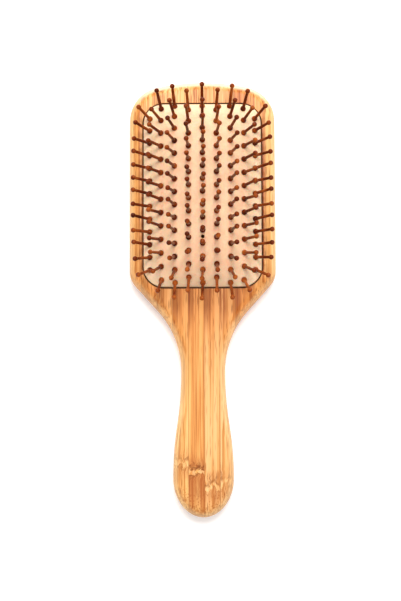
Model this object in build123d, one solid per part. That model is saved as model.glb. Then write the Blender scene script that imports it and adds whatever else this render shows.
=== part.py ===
from build123d import *
import math
import os

# All lengths are in millimetres. The brush lies on its flat back.
# +Z is the way the pins point, +Y runs from the handle to the top of the head.

# paddle, sawn from a laminated bamboo panel
total_length = 250.0
head_width = 84.0
panel_thickness = 15.0
crown_radius = 120.0
corner_radius = 20.0
shoulder_radius = 12.0
shoulder_angle = 41.8
neck_half_width = 12.5
neck_y = -43.0
neck_radius = 52.0
butt_half_width = 17.2
butt_length = 22.0
edge_round = 6.0

# strips of the panel, counted by their glue lines from the one nearest the middle
strip_width = 8.9
middle_glue_line = 0.5
glue_lines_each_side = 4

# air chamber behind the cushion
pocket_centre_y = 58.0
pocket_half_width = 34.3
pocket_half_length = 53.6
pocket_corner = 12.5
pocket_floor = 5.5
pocket_rim_round = 0.4
groove_top = 13.0
groove_height = 2.4
groove_depth = 2.2

# rubber cushion
rim_gap = 0.5
rim_rise = 0.3
dome_height = 12.0
dome_half_width = 34.3
dome_half_length = 53.4
dome_power_across = 2.7
dome_power_along = 5.3
rubber_thickness = 1.8
lip_reach = 1.8
lip_height = 1.6
vent_radius = 1.0
vent_row = -3.5

# bamboo pins; the row pitch is listed from the middle column outward, and the angles are in degrees
column_pitch = 7.86
column_crowding = 0.054
row_pitch = [7.33, 7.42, 7.33, 7.63, 7.3]
row_crowding = 0.015
pin_length = 14.1
tip_radius = 1.4
shaft_tip_radius = 0.78
shaft_root_radius = 0.92
collar_radius = 1.6
collar_lift = 0.7
pin_neck_radius = 0.8
foot_radius = 2.1
foot_height = 0.9
foot_drop = 2.75
hand_set_lean = 2.2
corner_splay = 9.4
seat_clearance = 0.08
end_row_from = 4.2

front = panel_thickness


def arc_point(centre, radius, angle):
    """Point on a circle, the angle in radians from +X."""
    return (centre[0] + radius * math.cos(angle), centre[1] + radius * math.sin(angle))


def head_line():
    """Right half of the crown, the top corner and the straight side, drawn inside a BuildLine."""
    half = head_width / 2
    crown = (0, total_length / 2 - crown_radius)
    corner_x = half - corner_radius
    reach = crown_radius - corner_radius
    corner = (corner_x, crown[1] + math.sqrt(reach**2 - corner_x**2))
    meet = math.atan2(corner[1] - crown[1], corner_x)
    ThreePointArc(
        (0, total_length / 2),
        arc_point(crown, crown_radius, (meet + math.pi / 2) / 2),
        arc_point(crown, crown_radius, meet),
    )
    ThreePointArc(
        arc_point(crown, crown_radius, meet),
        arc_point(corner, corner_radius, meet / 2),
        (half, corner[1]),
    )
    return (half, corner[1])


def handle_line(side_top):
    """Straight side, shoulder, neck and grip on the right, down to the rounded butt."""
    half = head_width / 2
    lean = math.radians(shoulder_angle)
    neck = (neck_half_width + neck_radius, neck_y)
    slope_low = arc_point(neck, neck_radius, math.pi - lean)
    slope_high_x = half - shoulder_radius + shoulder_radius * math.cos(lean)
    slope_high = (slope_high_x, slope_low[1] + (slope_high_x - slope_low[0]) / math.tan(lean))
    shoulder = (half - shoulder_radius, slope_high[1] + shoulder_radius * math.sin(lean))
    Line(side_top, (half, shoulder[1]))
    ThreePointArc((half, shoulder[1]), arc_point(shoulder, shoulder_radius, -lean / 2), slope_high)
    Line(slope_high, slope_low)
    ThreePointArc(slope_low, arc_point(neck, neck_radius, math.pi - lean / 2), (neck_half_width, neck_y))
    butt_y = butt_length - total_length / 2
    run = neck_y - butt_y
    swell = butt_half_width - neck_half_width
    bend = 2 * math.atan2(swell, run)
    grip_radius = run / 2 / math.sin(bend)
    hollow = (neck_half_width + grip_radius, neck_y)
    swelling = (butt_half_width - grip_radius, butt_y)
    middle = arc_point(swelling, grip_radius, bend)
    ThreePointArc((neck_half_width, neck_y), arc_point(hollow, grip_radius, math.pi + bend / 2), middle)
    ThreePointArc(middle, arc_point(swelling, grip_radius, bend / 2), (butt_half_width, butt_y))
    EllipticalCenterArc((0, butt_y), butt_half_width, butt_length, 270, arc_size=90)


def paddle_outline():
    """Front view of head, shoulders and handle as one closed face."""
    with BuildSketch() as sketch:
        with BuildLine():
            handle_line(head_line())
            mirror(about=Plane.YZ)
        make_face()
    return sketch.sketch


def rounded_block(half_width, half_length, corner, bottom, height):
    """Upright block with round corners, over the middle of the air chamber."""
    plan = Pos(0, pocket_centre_y, bottom) * RectangleRounded(2 * half_width, 2 * half_length, corner)
    return extrude(plan, height)


def paddle():
    """Whole paddle with its air chamber and the groove that holds the rubber's lip."""
    body = extrude(paddle_outline(), panel_thickness)
    body = fillet(body.edges().group_by(Axis.Z)[-1], edge_round)
    body = fillet(body.edges().group_by(Axis.Z)[0], edge_round)
    body -= rounded_block(pocket_half_width, pocket_half_length, pocket_corner, pocket_floor, 20)
    mouth = body.edges().group_by(Axis.Z)[-1].filter_by(lambda e: abs(e.center().X) < pocket_half_width + 1)
    inside = [e for e in mouth if in_pocket(e.center())]
    body = fillet(inside, pocket_rim_round)
    body -= rounded_block(
        pocket_half_width + groove_depth,
        pocket_half_length + groove_depth,
        pocket_corner + groove_depth,
        groove_top - groove_height,
        groove_height,
    )
    return body


def in_pocket(point):
    """True for a point on or inside the chamber's outline."""
    across = abs(point.X) < pocket_half_width + 0.1
    return across and abs(point.Y - pocket_centre_y) < pocket_half_length + 0.1


def bamboo_strips(body):
    """The panel's strips, cut apart along the glue lines."""
    count = range(-glue_lines_each_side, glue_lines_each_side + 1)
    glue_lines = [middle_glue_line + strip_width * n for n in count]
    limits = [-head_width] + glue_lines + [head_width]
    strips = []
    for low, high in zip(limits, limits[1:]):
        slab = Pos((low + high) / 2, 0, panel_thickness / 2) * Box(high - low, 2 * total_length, 40)
        strips.append(body & slab)
    return strips


def dome_point(x, y, drop=0.0):
    """Point on the cushion's outer face, y counted from the middle of the cushion."""
    across = 1 - abs(x / dome_half_width) ** dome_power_across
    along = 1 - abs(y / dome_half_length) ** dome_power_along
    return (x, y + pocket_centre_y, front + rim_rise + dome_height * across * along - drop)


def dome_normal(x, y):
    """Outward unit normal of the cushion's outer face."""
    across = 1 - abs(x / dome_half_width) ** dome_power_across
    along = 1 - abs(y / dome_half_length) ** dome_power_along
    steep_x = dome_power_across * abs(x / dome_half_width) ** (dome_power_across - 1) / dome_half_width
    steep_y = dome_power_along * abs(y / dome_half_length) ** (dome_power_along - 1) / dome_half_length
    slope_x = dome_height * along * math.copysign(steep_x, x)
    slope_y = dome_height * across * math.copysign(steep_y, y)
    return Vector(slope_x, slope_y, 1).normalized()


def under_dome(drop):
    """Solid below the dome, much deeper than the cushion."""
    reach_x = dome_half_width - 0.05
    reach_y = dome_half_length - 0.05
    grid = [
        [dome_point(reach_x * i / 9, reach_y * j / 14, drop) for i in range(-9, 10)]
        for j in range(-14, 15)
    ]
    skin = Face.make_surface_from_array_of_points(grid, tol=0.01)
    return Solid.extrude(skin, Vector(0, 0, -40))


def rubber_cushion(seats):
    """Hollow domed diaphragm with a skirt, a lip for the groove, pin seats and an air hole."""
    half_width = pocket_half_width - rim_gap
    half_length = pocket_half_length - rim_gap
    corner = pocket_corner - rim_gap
    lip_bottom = groove_top - groove_height / 2 - lip_height / 2
    outer = rounded_block(half_width, half_length, corner, lip_bottom, 30) & under_dome(0)
    inner = rounded_block(
        half_width - rubber_thickness,
        half_length - rubber_thickness,
        corner - rubber_thickness,
        lip_bottom - 1,
        30,
    )
    lip = rounded_block(
        half_width + lip_reach, half_length + lip_reach, corner + lip_reach, lip_bottom, lip_height
    )
    skin = outer + (lip - inner) - (inner & under_dome(rubber_thickness))
    vent_y = pocket_centre_y + vent_row * row_pitch[0]
    skin -= Pos(0, vent_y, front + dome_height) * Cylinder(vent_radius, 12)
    return skin - seats


def pin_shape(extra=0.0):
    """One turned pin along +Z, the middle of its collar at the origin, grown by extra all round."""
    collar = Sphere(collar_radius + extra)
    tip = Pos(0, 0, pin_length) * Sphere(tip_radius + extra)
    shaft = Pos(0, 0, pin_length / 2) * Cone(shaft_root_radius + extra, shaft_tip_radius + extra, pin_length)
    neck = Pos(0, 0, -foot_drop / 2) * Cylinder(pin_neck_radius + extra, foot_drop)
    foot = Pos(0, 0, -foot_drop - foot_height / 2) * Cylinder(foot_radius + extra, foot_height + 2 * extra)
    return collar + tip + shaft + neck + foot


def rows_of(column):
    """Row numbers of one column, counted from the middle of the cushion."""
    if abs(column) == 4:
        return [float(n) for n in range(-6, 7)]
    if column % 2:
        return [n + 0.5 for n in range(-7, 7)]
    return [float(n) for n in range(-7, 8)]


def pin_place(column, row):
    """Where one pin's collar sits: square to the rubber, but for its hand-set lean and the corners' splay."""
    x = column_pitch * column * (1 - column_crowding * abs(column / 4) ** 6)
    y = row_pitch[abs(column)] * row * (1 - row_crowding * abs(row / 7) ** 6)
    normal = dome_normal(x, y)
    centre = Vector(dome_point(x, y)) + normal * collar_lift
    lean = math.tan(math.radians(hand_set_lean))
    sway = Vector(math.sin(5.3 * column + 12.9 * row + 1), math.sin(7.7 * column - 9.1 * row + 2), 0)
    nearness_to_corner = abs(column / 4 * row / 6) ** 6
    splay = math.tan(math.radians(corner_splay)) * nearness_to_corner * math.copysign(1, row)
    return Location(Plane(origin=centre, z_dir=(normal + sway * lean + Vector(0, splay, 0)).normalized()))


def segment_of(row):
    """Name of the group of pins that a row belongs to."""
    if row > end_row_from:
        return "head"
    if row < -end_row_from:
        return "handle"
    return "middle"


def pin_groups(shape):
    """Copies of the shape at every pin, grouped by column and by place along the column."""
    groups = {}
    for column in range(-4, 5):
        for row in rows_of(column):
            name = f"pins_column_{column + 5}_{segment_of(row)}"
            groups.setdefault(name, []).append(shape.moved(pin_place(column, row)))
    return groups


def save(name, shape):
    """One STEP file for one node."""
    export_step(Compound(children=list(shape.solids())), f"parts/{name}.step")


os.makedirs("parts", exist_ok=True)

for number, strip in enumerate(bamboo_strips(paddle()), start=1):
    save(f"bamboo_strip_{number}", strip)

seat_groups = pin_groups(pin_shape(seat_clearance).solid())
save("rubber_cushion", rubber_cushion([seat for group in seat_groups.values() for seat in group]))

for name, group in pin_groups(pin_shape().solid()).items():
    save(name, Compound(children=group))
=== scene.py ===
import math

import bmesh
import bpy
import numpy as np
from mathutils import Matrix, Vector


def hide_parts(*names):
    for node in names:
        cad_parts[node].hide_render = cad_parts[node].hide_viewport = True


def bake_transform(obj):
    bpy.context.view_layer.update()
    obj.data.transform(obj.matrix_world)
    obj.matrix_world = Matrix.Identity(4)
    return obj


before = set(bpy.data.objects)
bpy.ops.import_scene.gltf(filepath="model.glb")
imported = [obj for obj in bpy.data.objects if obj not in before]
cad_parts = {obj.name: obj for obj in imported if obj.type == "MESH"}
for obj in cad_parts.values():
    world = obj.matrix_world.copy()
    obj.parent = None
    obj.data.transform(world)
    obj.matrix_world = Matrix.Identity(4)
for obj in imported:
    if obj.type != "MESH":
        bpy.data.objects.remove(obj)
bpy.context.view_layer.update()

MM = 0.001
scene = bpy.context.scene


# ---------------------------------------------------------------- shapes shared with the CAD, in mm

FRONT = 15.0
POCKET_Y = 58.0
POCKET_W, POCKET_L, POCKET_CORNER = 34.3, 53.6, 12.5
RIM_GAP = 0.5
SKIN_W, SKIN_L, SKIN_CORNER = POCKET_W - RIM_GAP, POCKET_L - RIM_GAP, POCKET_CORNER - RIM_GAP
RIM_RISE = 0.3
DOME = 12.0
DOME_W, DOME_L = 34.3, 53.4
POWER_X, POWER_Y = 2.7, 5.3
STRIP_WIDTH = 8.9
MIDDLE_GLUE = 0.5
STRIPS_LEFT_OF_MIDDLE = 5
COLUMN = 7.86
COLUMN_CROWDING = 0.054
ROW_PITCH = [7.33, 7.42, 7.33, 7.63, 7.3]
ROW_CROWDING = 0.015
VENT_Y = -3.5 * ROW_PITCH[0]
COLLAR_LIFT = 0.7
LEAN = math.tan(math.radians(2.2))
SPLAY = math.tan(math.radians(9.4))


def dome_height(x, y):
    """Height of the cushion's outer face, y counted from the middle of the cushion."""
    across = 1 - np.abs(x / DOME_W) ** POWER_X
    along = 1 - np.abs(y / DOME_L) ** POWER_Y
    return FRONT + RIM_RISE + DOME * across * along


def dome_normal(x, y):
    """Outward unit normal of the cushion's outer face."""
    h = 0.01
    slope_x = (dome_height(x + h, y) - dome_height(x - h, y)) / (2 * h)
    slope_y = (dome_height(x, y + h) - dome_height(x, y - h)) / (2 * h)
    n = np.array([-slope_x, -slope_y, 1.0])
    return n / np.linalg.norm(n)


def rows_of(column):
    """Row numbers of one column, counted from the middle of the cushion."""
    if abs(column) == 4:
        return [float(n) for n in range(-6, 7)]
    if column % 2:
        return [n + 0.5 for n in range(-7, 7)]
    return [float(n) for n in range(-7, 8)]


def pin_axis(column, row):
    """Collar centre and direction of one pin, y counted from the middle of the cushion."""
    x = COLUMN * column * (1 - COLUMN_CROWDING * abs(column / 4) ** 6)
    y = ROW_PITCH[abs(column)] * row * (1 - ROW_CROWDING * abs(row / 7) ** 6)
    n = dome_normal(x, y)
    centre = np.array([x, y, dome_height(x, y)]) + n * COLLAR_LIFT
    sway = np.array([math.sin(5.3 * column + 12.9 * row + 1), math.sin(7.7 * column - 9.1 * row + 2), 0.0])
    splay = SPLAY * abs(column / 4 * row / 6) ** 6 * math.copysign(1, row)
    d = n + sway * LEAN + np.array([0.0, splay, 0.0])
    return centre, d / np.linalg.norm(d)


def pin_axes():
    return [pin_axis(column, row) for column in range(-4, 5) for row in rows_of(column)]


# ---------------------------------------------------------------- node helpers


def srgb(r, g, b):
    """A colour given in 0 to 255 as Blender's linear colour."""

    def linear(v):
        v /= 255
        return v / 12.92 if v <= 0.04045 else ((v + 0.055) / 1.055) ** 2.4

    return (linear(r), linear(g), linear(b), 1.0)


class Nodes:
    """A material with one principled shader, and a short method for each kind of node it uses."""

    def __init__(self, name):
        self.material = bpy.data.materials.new(name)
        self.material.use_nodes = True
        self.tree = self.material.node_tree
        self.tree.nodes.clear()
        out = self.new("ShaderNodeOutputMaterial")
        self.shader = self.new("ShaderNodeBsdfPrincipled")
        self.tree.links.new(self.shader.outputs[0], out.inputs[0])

    def new(self, kind):
        return self.tree.nodes.new(kind)

    def put(self, socket, value):
        if isinstance(value, bpy.types.NodeSocket):
            self.tree.links.new(value, socket)
        elif value is not None:
            socket.default_value = value

    def set(self, **values):
        """Puts values on the shader's sockets, whose names are written with _ for a space."""
        for name, value in values.items():
            self.put(self.shader.inputs[name.replace("_", " ")], value)

    def position(self):
        return self.new("ShaderNodeTexCoord").outputs["Object"]

    def normal(self):
        return self.new("ShaderNodeTexCoord").outputs["Normal"]

    def mapped(self, vector, scale, location=(0, 0, 0)):
        n = self.new("ShaderNodeMapping")
        self.put(n.inputs["Vector"], vector)
        n.inputs["Scale"].default_value = scale
        n.inputs["Location"].default_value = location
        return n.outputs[0]

    def noise(self, vector, scale=1.0, detail=3.0, rough=0.5, distortion=0.0):
        n = self.new("ShaderNodeTexNoise")
        self.put(n.inputs["Vector"], vector)
        n.inputs["Scale"].default_value = scale
        n.inputs["Detail"].default_value = detail
        n.inputs["Roughness"].default_value = rough
        n.inputs["Distortion"].default_value = distortion
        return n.outputs[0]

    def cells(self, vector):
        """Distance from the nearest of many scattered points."""
        n = self.new("ShaderNodeTexVoronoi")
        self.put(n.inputs["Vector"], vector)
        n.inputs["Scale"].default_value = 1.0
        return n.outputs["Distance"]

    def math(self, kind, a, b=None, c=None):
        n = self.new("ShaderNodeMath")
        n.operation = kind
        self.put(n.inputs[0], a)
        self.put(n.inputs[1], b)
        self.put(n.inputs[2], c)
        return n.outputs[0]

    def times(self, value, *others):
        for other in others:
            value = self.math("MULTIPLY", value, other)
        return value

    def less(self, a, b):
        return self.math("SUBTRACT", a, b)

    def swayed(self, value, pattern, reach):
        """The value moved up and down by a pattern whose middle is 0.5."""
        return self.math("MULTIPLY_ADD", self.less(pattern, 0.5), reach, value)

    def span(self, value, low, high, to_low=0.0, to_high=1.0, smooth=True):
        n = self.new("ShaderNodeMapRange")
        n.interpolation_type = "SMOOTHSTEP" if smooth else "LINEAR"
        self.put(n.inputs["Value"], value)
        n.inputs["From Min"].default_value = low
        n.inputs["From Max"].default_value = high
        n.inputs["To Min"].default_value = to_low
        n.inputs["To Max"].default_value = to_high
        return n.outputs["Result"]

    def mix(self, factor, a, b, kind="MIX"):
        n = self.new("ShaderNodeMix")
        n.data_type = "RGBA"
        n.blend_type = kind
        n.clamp_result = True
        self.put(n.inputs[0], factor)
        self.put(n.inputs[6], a)
        self.put(n.inputs[7], b)
        return n.outputs[2]

    def ramp(self, factor, stops):
        n = self.new("ShaderNodeValToRGB")
        self.put(n.inputs[0], factor)
        elements = n.color_ramp.elements
        while len(elements) < len(stops):
            elements.new(0.5)
        for item, (place, colour) in zip(elements, stops):
            item.position = place
            item.color = colour
        return n.outputs[0]

    def split(self, vector):
        n = self.new("ShaderNodeSeparateXYZ")
        self.put(n.inputs[0], vector)
        return n.outputs

    def join(self, x, y, z):
        n = self.new("ShaderNodeCombineXYZ")
        for socket, value in zip(n.inputs, (x, y, z)):
            self.put(socket, value)
        return n.outputs[0]

    def channels(self, colour):
        n = self.new("ShaderNodeSeparateColor")
        self.put(n.inputs[0], colour)
        return n.outputs

    def bump(self, height, strength, distance, under=None):
        n = self.new("ShaderNodeBump")
        n.inputs["Strength"].default_value = strength
        n.inputs["Distance"].default_value = distance
        self.put(n.inputs["Height"], height)
        self.put(n.inputs["Normal"], under)
        return n.outputs[0]


# ---------------------------------------------------------------- bamboo

# the knuckles' pale curl, and also the painted highlight on the rounded edges
CREAM = srgb(255, 226, 170)
# painted highlight along the crown's rounded edge
CROWN_HIGHLIGHT = srgb(246, 234, 208)
SHOULDER = srgb(222, 134, 60)
BROWN_SIDE = srgb(156, 78, 16)
BUNDLE = srgb(142, 72, 26)
END_SPECK = srgb(166, 86, 34)
GLUE = srgb(150, 86, 40)
STAIN = srgb(176, 98, 46)
KNUCKLE_LINE = srgb(132, 70, 26)
# painted shade in the gap round the cushion, on the wood
POCKET_SHADE = srgb(100, 52, 20)
# multiplied with the wood's own colour
DARK_FIBRE = (0.70, 0.52, 0.33, 1.0)

# how often each pattern repeats in a metre, across the strip, along it and through it
SWING_SCALE = (170, 190, 170)
WANDER_SCALE = (40, 11, 40)
STREAK_SCALE = (340, 6, 240)
FIBRE_SCALE = (1250, 15, 1250)
BUNDLE_SCALE = (1150, 88, 1150)
LINE_SCALE = (640, 6, 640)
HAIR_SCALE = (980, 5, 980)
END_SPECK_SCALE = (1150, 620, 1150)
JAG_SCALE = (330, 110, 330)
PATCH_SCALE = (620, 300, 620)

# through a knuckle, from the head's side to the butt's: red the dark line, green the curl, blue the stain
KNUCKLE_STOPS = [
    (0.12, (0, 0, 0, 1)),
    (0.24, (1, 0, 0, 1)),
    (0.34, (1, 0, 0, 1)),
    (0.42, (0, 0.5, 0, 1)),
    (0.48, (0, 1, 0, 1)),
    (0.60, (0, 0.8, 0, 1)),
    (0.68, (0.8, 0, 0.6, 1)),
    (0.78, (0, 0, 1, 1)),
]


class Bamboo(Nodes):
    """One strip between two glue lines. Lengths in its spans are in metres, and y runs along the brush."""

    def __init__(self, number, low, high, tones, heart, knuckles):
        super().__init__(f"bamboo_{number}")
        self.here = self.position()
        self.x, self.y, self.z = self.split(self.here)
        self.shift = (number * 3.7, number * 1.9, number * 5.3)
        self.grain_at = self.curled(knuckles)
        self.wander = self.noise(self.mapped(self.here, WANDER_SCALE, self.shift), 1.0, 2.0)
        self.streak = self.noise(self.mapped(self.grain_at, STREAK_SCALE, self.shift), 1.0, 3.0, 0.55, 0.25)
        self.fibre = self.noise(self.mapped(self.grain_at, FIBRE_SCALE, self.shift), 1.0, 3.0, 0.62)
        self.line = self.noise(self.mapped(self.grain_at, LINE_SCALE, self.shift[::-1]), 1.0, 2.0)
        colour = self.fibres(tones)
        colour = self.shoulders(colour, low, high, heart)
        colour = self.dark_fibres(colour)
        colour, ridge = self.bundles(colour)
        for place, strength, reach in knuckles:
            colour, fold = self.knuckle(colour, place, strength, reach)
            ridge = self.math("MAXIMUM", ridge, fold)
        for edge in (low, high):
            gap = self.math("ABSOLUTE", self.less(self.x, edge * MM))
            colour = self.mix(self.span(gap, 0.00004, 0.00040, 0.50, 0.0), colour, GLUE)
        # painted highlight: the rounded edges are painted paler, most of all along the crown
        colour = self.painted_edge_highlight(colour)
        # painted shade: a dark brown band along the opening's outline and down its walls, where the gap
        # round the cushion lies in shade
        rim = self.span(self.outside_pocket(), 0.00005, 0.00050, 1.0, 0.0)
        rim = self.times(rim, self.span(self.z, 0.009, 0.011))
        colour = self.mix(rim, colour, POCKET_SHADE)
        height = self.less(self.times(self.fibre, 0.8), self.times(ridge, 0.6))
        self.set(
            Base_Color=colour,
            Roughness=self.span(self.fibre, 0.3, 0.7, 0.34, 0.50),
            Specular_IOR_Level=0.16,
            Coat_Weight=0.10,
            Coat_Roughness=0.20,
            Normal=self.bump(height, 0.35, 0.00012),
        )

    def curled(self, knuckles):
        """Where the fibres are looked up: they swing sideways where the cane had a joint."""
        swing = self.less(self.noise(self.mapped(self.here, SWING_SCALE, self.shift), 1.0, 2.0), 0.5)
        x = self.x
        for place, strength, _ in knuckles:
            gap = self.math("ABSOLUTE", self.less(self.y, place * MM))
            x = self.math("MULTIPLY_ADD", swing, self.span(gap, 0.001, 0.009, 0.008 * strength, 0.0), x)
        return self.join(x, self.y, self.z)

    def fibres(self, tones):
        """The strip's own tones, dark to light, with single light fibres."""
        tone = self.swayed(0.5, self.streak, 1.25)
        tone = self.swayed(tone, self.fibre, 1.5)
        tone = self.swayed(tone, self.wander, 0.8)
        colour = self.ramp(tone, list(zip((0.20, 0.50, 0.80), tones)))
        return self.mix(self.span(self.line, 0.57, 0.63, 0.0, 0.40), colour, tones[2])

    def shoulders(self, colour, low, high, heart):
        """The wood darkens toward the head, most of all on the brown side of the cane wall."""
        ragged = self.swayed(self.y, self.fibre, 0.030)
        shoulder = self.times(self.span(ragged, -0.045, -0.008), self.span(self.y, 0.004, 0.022, 1.0, 0.0))
        colour = self.mix(self.times(shoulder, 0.50), colour, SHOULDER)
        across = self.span(self.x, low * MM, high * MM, smooth=False)
        across = self.swayed(across, self.streak, 1.1)
        brown = self.times(
            self.span(across, 0.26, 0.54, 1.0, 0.0),
            self.span(ragged, -0.026, -0.004),
            self.span(self.y, 0.004, 0.022, 1.0, 0.25),
            self.span(self.fibre, 0.40, 0.58, 1.0, 0.70),
            heart,
        )
        return self.mix(brown, colour, BROWN_SIDE)

    def dark_fibres(self, colour):
        hair = self.noise(self.mapped(self.grain_at, HAIR_SCALE, self.shift[::-1]), 1.0, 1.0)
        colour = self.mix(self.span(self.line, 0.39, 0.44, 0.85, 0.0), colour, DARK_FIBRE, "MULTIPLY")
        return self.mix(self.span(hair, 0.34, 0.41, 0.80, 0.0), colour, DARK_FIBRE, "MULTIPLY")

    def bundles(self, colour):
        """Vascular bundles: dashes along the fibres, plainer at the shoulders and butt, dots at the butt."""
        dashes = self.cells(self.mapped(self.grain_at, BUNDLE_SCALE, self.shift))
        dashes = self.span(dashes, 0.12, 0.36, 1.0, 0.0)
        worked = self.math("MAXIMUM", self.span(self.y, -0.050, -0.012), self.span(self.y, -0.080, -0.100))
        worked = self.math("MULTIPLY_ADD", worked, 0.44, self.span(self.wander, 0.38, 0.62, 0.12, 0.40))
        colour = self.mix(self.times(dashes, worked), colour, BUNDLE)
        dots = self.cells(self.mapped(self.here, END_SPECK_SCALE, self.shift))
        dots = self.times(self.span(dots, 0.18, 0.42, 0.75, 0.0), self.span(self.y, -0.104, -0.115))
        return self.mix(dots, colour, END_SPECK), dashes

    def knuckle(self, colour, place, strength, reach):
        """A joint of the cane: browned fibres, a jagged dark line, a pale curl, and a stain that fades."""
        jag = self.noise(self.mapped(self.grain_at, JAG_SCALE, self.shift), 1.0, 3.0, 0.6)
        patch = self.noise(self.mapped(self.grain_at, PATCH_SCALE, self.shift), 1.0, 2.0)
        off = self.swayed(self.less(place * MM, self.y), jag, 0.014)
        near = self.span(off, -0.003, 0.007, smooth=False)
        line, curl, below = self.channels(self.ramp(near, KNUCKLE_STOPS))
        streaks = self.span(self.fibre, 0.34, 0.60, 1.35, 0.72)
        above = self.times(self.span(off, -0.011, -0.001), self.span(off, 0.0, 0.001, 1.0, 0.0), streaks)
        above = self.times(above, 0.50 * strength)
        fade = self.times(self.span(off, 0.004, reach * MM, 1.0, 0.0), streaks)
        stain = self.times(below, fade, 0.90 * strength)
        curl = self.times(curl, self.span(patch, 0.40, 0.58), 0.34 * strength)
        line = self.times(line, self.span(patch, 0.68, 0.44), 0.95 * strength)
        colour = self.mix(self.math("MAXIMUM", above, stain), colour, STAIN)
        colour = self.mix(curl, colour, CREAM)
        return self.mix(line, colour, KNUCKLE_LINE), line

    def painted_edge_highlight(self, colour):
        """Painted highlight: the rounded edges are painted paler, for the bright surround they reflect, and
        most of all along the crown, which faces the light from the top.
        """
        upward = self.split(self.normal())[2]
        edge_highlight = self.times(self.span(upward, 0.97, 0.72), self.span(upward, -0.97, -0.60))
        edge_highlight = self.times(edge_highlight, self.span(upward, -0.20, 0.60, 0.20, 1.0))
        crown = self.times(self.span(self.y, 0.108, 0.121), self.span(upward, 0.05, 0.75))
        colour = self.mix(self.times(edge_highlight, 0.26), colour, CREAM)
        return self.mix(self.times(edge_highlight, crown, 0.62), colour, CROWN_HIGHLIGHT)

    def outside_pocket(self):
        """Distance from the opening's outline, less than zero inside it."""
        over_x = self.less(self.math("ABSOLUTE", self.x), (POCKET_W - POCKET_CORNER) * MM)
        over_y = self.math("ABSOLUTE", self.less(self.y, POCKET_Y * MM))
        over_y = self.less(over_y, (POCKET_L - POCKET_CORNER) * MM)
        over_x = self.math("MAXIMUM", over_x, 0.0)
        over_y = self.math("MAXIMUM", over_y, 0.0)
        square = self.math("MULTIPLY_ADD", over_x, over_x, self.times(over_y, over_y))
        return self.less(self.math("SQRT", square), POCKET_CORNER * MM)


ORANGE = (srgb(200, 122, 58), srgb(232, 160, 88), srgb(246, 190, 116))
HONEY = (srgb(206, 134, 68), srgb(238, 174, 102), srgb(250, 200, 132))
STRAW = (srgb(212, 142, 76), srgb(237, 173, 105), srgb(244, 190, 128))
TAN = (srgb(180, 98, 42), srgb(215, 132, 66), srgb(236, 166, 94))
# tones, brown side, and each knuckle's y in mm, strength and how far its stain reaches in mm
STRIPS = [
    (ORANGE, 0.30, []),
    (ORANGE, 0.45, [(-2, 0.5, 12)]),
    (HONEY, 0.50, [(121, 0.3, 12)]),
    (HONEY, 0.85, [(-93.5, 0.6, 14)]),
    (ORANGE, 0.90, [(-98.0, 1.0, 38)]),
    (STRAW, 0.90, [(-105.5, 0.60, 20)]),
    (STRAW, 1.00, [(-103, 0.45, 22)]),
    (TAN, 0.90, []),
    (ORANGE, 0.45, []),
    (HONEY, 0.30, []),
]
for index, (tones, heart, knuckles) in enumerate(STRIPS):
    low = MIDDLE_GLUE + STRIP_WIDTH * (index - STRIPS_LEFT_OF_MIDDLE)
    strip = Bamboo(index + 1, low, low + STRIP_WIDTH, tones, heart, knuckles)
    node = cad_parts[f"bamboo_strip_{index + 1}"]
    node.data.materials.clear()
    node.data.materials.append(strip.material)


# ---------------------------------------------------------------- pins


def pin_wood():
    """Dark stained bamboo with a fine grain along the pins, painted a little lighter towards the handle as
    painted light.
    """
    m = Nodes("dark_bamboo")
    here = m.position()
    patch = m.noise(m.mapped(here, (150, 150, 60)), 1.0, 2.0)
    grain = m.noise(m.mapped(here, (3600, 3600, 330)), 1.0, 3.0, 0.6)
    tone = m.swayed(patch, grain, 0.32)
    # painted light: the pins nearest the handle are painted lighter, as if more lit
    tone = m.math("ADD", tone, m.span(m.split(here)[1], 0.020, 0.006, 0.0, 0.16))
    colour = m.ramp(tone, [(0.25, srgb(58, 14, 0)), (0.50, srgb(112, 40, 4)), (0.75, srgb(176, 90, 32))])
    m.set(
        Base_Color=colour,
        Roughness=m.span(grain, 0.3, 0.7, 0.24, 0.34),
        Specular_IOR_Level=0.06,
        Coat_Weight=0.10,
        Coat_Roughness=0.10,
        Normal=m.bump(grain, 0.25, 0.00005),
    )
    return m.material


dark_bamboo = pin_wood()
for name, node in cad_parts.items():
    if name.startswith("pins_column_"):
        node.data.materials.clear()
        node.data.materials.append(dark_bamboo)


# ---------------------------------------------------------------- rubber cushion


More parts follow.
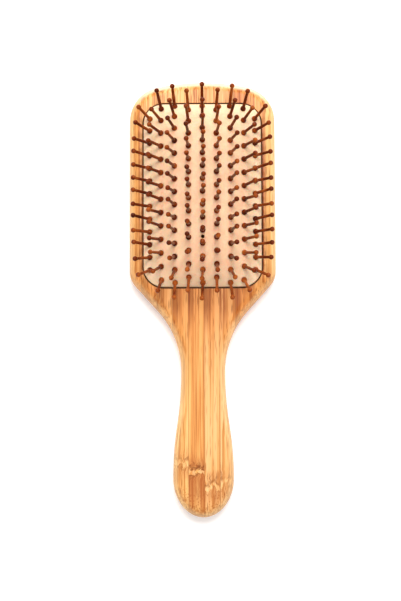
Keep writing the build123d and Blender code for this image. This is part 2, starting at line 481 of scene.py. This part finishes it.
def rubber():
    """Matt natural rubber, clouded and speckled, with a painted highlight that pales it toward the rim and
    painted shade that browns it where it enters the wood.
    """
    m = Nodes("natural_rubber")
    here = m.position()
    cloud = m.noise(m.mapped(here, (110, 90, 90)), 1.0, 3.0, 0.55)
    mottle = m.noise(here, 520.0, 3.0, 0.6)
    speck = m.noise(here, 2300.0, 2.0)
    tone = m.math("MULTIPLY_ADD", mottle, 0.5, m.times(cloud, 0.6))
    tones = [(0.40, srgb(246, 189, 150)), (0.54, srgb(246, 198, 160)), (0.70, srgb(247, 207, 168))]
    colour = m.ramp(tone, tones)
    # painted shade: pinker and a little darker along the lines of pins, where their shadows fall
    x, _, z = m.split(here)
    pin_shade = m.math("COSINE", m.times(x, math.tau / (COLUMN * MM)))
    pin_shade = m.times(m.span(pin_shade, -0.4, 1.0, 0.0, 0.42), m.span(mottle, 0.30, 0.60, 0.5, 1.0))
    colour = m.mix(pin_shade, colour, srgb(247, 182, 146))
    colour = m.mix(m.span(speck, 0.60, 0.75, 0.0, 0.25), colour, srgb(222, 174, 134))
    # painted highlight: paler cream toward the rim, as if lit from the top
    colour = m.mix(m.span(z, 0.0265, 0.0160, 0.0, 0.50), colour, srgb(248, 222, 184))
    # painted shade: dark brown where the rim goes down into the gap
    colour = m.mix(m.span(z, 0.0148, 0.0160, 0.85, 0.0), colour, srgb(136, 72, 34))
    m.set(
        Base_Color=colour,
        Roughness=m.span(mottle, 0.3, 0.7, 0.52, 0.66),
        Subsurface_Weight=0.45,
        Subsurface_Radius=(1.0, 0.45, 0.25),
        Subsurface_Scale=0.0018,
        Specular_IOR_Level=0.35,
        Normal=m.bump(mottle, 0.20, 0.00015, m.bump(speck, 0.30, 0.00006)),
    )
    return m.material


# all in mm
SKIN_GRID = (150, 236)
SKIN_THICKNESS = 1.3
RIM_ROUND = 0.9
RIM_DROP = 0.75
RING_RADIUS, RING_WIDTH, RING_HEIGHT = 2.0, 0.42, 0.20
DIMPLE_RADIUS, DIMPLE_DEPTH = 1.45, 0.28
PIN_HOLE, PIN_HOLE_CUT, PIN_HOLE_DROP = 1.28, 1.05, 0.8
VENT_RING_RADIUS, VENT_RING_WIDTH, VENT_RING_HEIGHT = 1.5, 0.35, 0.14
VENT_HOLE, VENT_HOLE_CUT = 1.0, 0.80
# the loops of the skirt and lip from the rim down: each one's step outward from the last, and its height
SKIRT_AND_LIP = [(0.0, 14.2), (0.0, 12.62), (1.6, 12.55), (0.0, 11.05)]


def radius_from(points, centre, d):
    """Distance of points from the line through centre along the unit vector d."""
    p = points - centre
    reach = p @ d
    return np.sqrt(np.maximum((p**2).sum(-1) - reach**2, 0))


def rim_reach(y):
    """Half width of the cushion's plan at y."""
    over = np.clip(np.abs(y) - (SKIN_L - SKIN_CORNER), 0, SKIN_CORNER)
    return SKIN_W - SKIN_CORNER + np.sqrt(np.maximum(SKIN_CORNER**2 - over**2, 0))


def rim_inset(x, y):
    """Distance inside the cushion's outline, in plan."""
    corner_x = np.clip(np.abs(x) - (SKIN_W - SKIN_CORNER), 0, None)
    corner_y = np.clip(np.abs(y) - (SKIN_L - SKIN_CORNER), 0, None)
    in_corner = (corner_x > 0) & (corner_y > 0)
    round_part = np.where(in_corner, SKIN_CORNER - np.hypot(corner_x, corner_y), np.inf)
    return np.minimum(round_part, np.minimum(SKIN_W - np.abs(x), SKIN_L - np.abs(y)))


def skin_surface(pins):
    """Grid of points on the dome, with its rim rounded over and a ring and dimple round each pin."""
    across, along = SKIN_GRID
    u = np.linspace(-1, 1, across + 1)
    v = np.linspace(-1, 1, along + 1)
    y = np.repeat(v[:, None] * SKIN_L, across + 1, 1)
    x = u[None, :] * rim_reach(y)
    z = dome_height(x, y)
    short = np.clip(RIM_ROUND - rim_inset(x, y), 0, RIM_ROUND)
    z = z - RIM_DROP * (RIM_ROUND - np.sqrt(np.maximum(RIM_ROUND**2 - short**2, 0)))
    for centre, d in pins:
        r = radius_from(np.stack([x, y, z], -1), centre, d)
        z = z + RING_HEIGHT * np.exp(-(((r - RING_RADIUS) / RING_WIDTH) ** 2))
        z = z - DIMPLE_DEPTH * np.exp(-((r / DIMPLE_RADIUS) ** 4))
    r = np.hypot(x, y - VENT_Y)
    z = z + VENT_RING_HEIGHT * np.exp(-(((r - VENT_RING_RADIUS) / VENT_RING_WIDTH) ** 2))
    return np.stack([x, y, z], -1)


def cut_holes(bm, holes, rim):
    """Removes the faces inside each hole and moves the ragged edge out onto its circle."""
    kept = set(rim)
    faces = list(bm.faces)
    centres = np.array([f.calc_center_median() for f in faces])
    gone = set()
    for centre, d, cut, _ in holes:
        gone.update(np.nonzero(radius_from(centres, centre, d) < cut)[0].tolist())
    bmesh.ops.delete(bm, geom=[faces[k] for k in gone], context="FACES")
    starts = np.array([hole[0] for hole in holes])
    axes = np.array([hole[1] for hole in holes])
    for vert in [w for w in bm.verts if w.is_boundary and w not in kept]:
        p = np.array(vert.co) - starts
        reach = (p * axes).sum(1)
        side = p - reach[:, None] * axes
        r = np.linalg.norm(side, axis=1)
        k = r.argmin()
        vert.co = Vector(starts[k] + reach[k] * axes[k] + side[k] / r[k] * holes[k][3])


def add_skirt_and_lip(bm, rim):
    """Carries the rim down into the groove, where the lip steps outward."""
    for step, height in SKIRT_AND_LIP:
        below = []
        for w in rim:
            corner_x = math.copysign(min(abs(w.co.x), SKIN_W - SKIN_CORNER), w.co.x)
            corner_y = math.copysign(min(abs(w.co.y), SKIN_L - SKIN_CORNER), w.co.y)
            out = Vector((w.co.x - corner_x, w.co.y - corner_y)).normalized() * step
            below.append(bm.verts.new((w.co.x + out.x, w.co.y + out.y, height)))
        for k in range(len(rim)):
            bm.faces.new((rim[k - 1], rim[k], below[k], below[k - 1]))
        rim = below


def cushion():
    """Domed skin with a rounded rim, a seat and a hole for each pin, an air hole, a skirt and a lip."""
    pins = pin_axes()
    points = skin_surface(pins)
    bm = bmesh.new()
    grid = [[bm.verts.new(point) for point in row] for row in points]
    for near, far in zip(grid, grid[1:]):
        for i in range(len(near) - 1):
            bm.faces.new((near[i], near[i + 1], far[i + 1], far[i]))
    left, right = [row[0] for row in grid], [row[-1] for row in grid]
    rim = grid[0][:-1] + right[:-1] + grid[-1][:0:-1] + left[:0:-1]
    holes = [(centre - d * PIN_HOLE_DROP, d, PIN_HOLE_CUT, PIN_HOLE) for centre, d in pins]
    vent = np.array([0.0, VENT_Y, float(dome_height(0.0, VENT_Y))])
    holes.append((vent, np.array([0.0, 0.0, 1.0]), VENT_HOLE_CUT, VENT_HOLE))
    cut_holes(bm, holes, rim)
    add_skirt_and_lip(bm, rim)
    bmesh.ops.recalc_face_normals(bm, faces=bm.faces)
    for w in bm.verts:
        w.co.y += POCKET_Y
        w.co *= MM
    mesh = bpy.data.meshes.new("rubber_skin")
    bm.to_mesh(mesh)
    bm.free()
    top = max(mesh.polygons, key=lambda p: p.center.z)
    if top.normal.z < 0:
        mesh.flip_normals()
    return thickened(mesh)


def thickened(mesh):
    """The skin as an object, grown inward to the rubber's thickness."""
    raw = bpy.data.objects.new("rubber_skin_raw", mesh)
    bpy.context.collection.objects.link(raw)
    thick = raw.modifiers.new("thickness", "SOLIDIFY")
    thick.thickness = SKIN_THICKNESS * MM
    thick.offset = -1
    seen = raw.evaluated_get(bpy.context.evaluated_depsgraph_get())
    final = bpy.data.meshes.new_from_object(seen)
    final.name = "rubber_skin"
    bpy.data.objects.remove(raw)
    skin = bpy.data.objects.new("rubber_skin", final)
    bpy.context.collection.objects.link(skin)
    final.polygons.foreach_set("use_smooth", [True] * len(final.polygons))
    final.materials.clear()
    final.materials.append(rubber())
    return skin


skin = cushion()
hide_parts("rubber_cushion")
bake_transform(skin)


# ---------------------------------------------------------------- floor, light, camera

FLOOR_SIZE = 3.0
FLOOR_GLOW = 0.26
FLOOR_BELOW = 0.0002


def floor():
    """A large matt white floor, with a faint glow that keeps it white round the brush."""
    m = Nodes("floor_white")
    grey = m.noise(m.position(), 6.0, 2.0)
    m.set(
        Base_Color=m.ramp(grey, [(0.3, srgb(242, 242, 242)), (0.7, srgb(246, 246, 246))]),
        Roughness=0.9,
        Emission_Color=(1, 1, 1, 1),
        Emission_Strength=FLOOR_GLOW,
    )
    bm = bmesh.new()
    bmesh.ops.create_grid(bm, x_segments=8, y_segments=8, size=FLOOR_SIZE)
    mesh = bpy.data.meshes.new("floor")
    bm.to_mesh(mesh)
    bm.free()
    mesh.materials.append(m.material)
    ob = bpy.data.objects.new("floor", mesh)
    ob.location.z = -FLOOR_BELOW
    bpy.context.collection.objects.link(ob)


def area_light(name, place, target, size, power, colour=(1, 1, 1)):
    data = bpy.data.lights.new(name, "AREA")
    data.shape = "RECTANGLE"
    data.size, data.size_y = size
    data.energy = power
    data.color = colour
    ob = bpy.data.objects.new(name, data)
    ob.location = place
    ob.rotation_euler = (Vector(target) - Vector(place)).to_track_quat("-Z", "Y").to_euler()
    bpy.context.collection.objects.link(ob)


# in metres and radians; the magnification is in pixels to a millimetre, at the target
CAMERA_TILT = 0.087
CAMERA_ROLL = -0.004
CAMERA_DISTANCE = 0.650
CAMERA_TARGET = Vector((-0.0016, -0.00207, 0.008))
MAGNIFICATION = 1.740
IMAGE_HEIGHT = 601
SENSOR_HEIGHT = 36


def camera():
    """Above the brush and a little towards the butt, looking down at it."""
    data = bpy.data.cameras.new("camera")
    data.sensor_fit = "VERTICAL"
    data.sensor_height = SENSOR_HEIGHT
    data.lens = MAGNIFICATION * CAMERA_DISTANCE / MM * SENSOR_HEIGHT / IMAGE_HEIGHT
    data.clip_start = 0.01
    data.clip_end = 20
    ob = bpy.data.objects.new("camera", data)
    away = Vector((0, -math.sin(CAMERA_TILT), math.cos(CAMERA_TILT)))
    ob.location = CAMERA_TARGET + CAMERA_DISTANCE * away
    ob.rotation_euler = (CAMERA_TILT, 0, CAMERA_ROLL)
    bpy.context.collection.objects.link(ob)
    scene.camera = ob


floor()
area_light("key", (0.05, 0.42, 1.05), (0, 0.03, 0), (0.55, 0.45), 11.0, (1.0, 0.985, 0.96))
area_light("window", (0.0, 1.60, 0.40), (0, 0.05, 0), (1.8, 0.6), 13.0, (1.0, 0.99, 0.97))
area_light("fill", (-0.8, -0.5, 0.9), (0, 0, 0), (0.9, 0.9), 1.2)
area_light("fill_right", (0.9, -0.2, 0.8), (0, 0, 0), (0.9, 0.9), 1.2)
camera()
world = bpy.data.worlds.new("studio")
scene.world = world
world.use_nodes = True
background = world.node_tree.nodes["Background"]
background.inputs["Color"].default_value = (1, 1, 1, 1)
background.inputs["Strength"].default_value = 0.50
scene.view_settings.view_transform = "Standard"
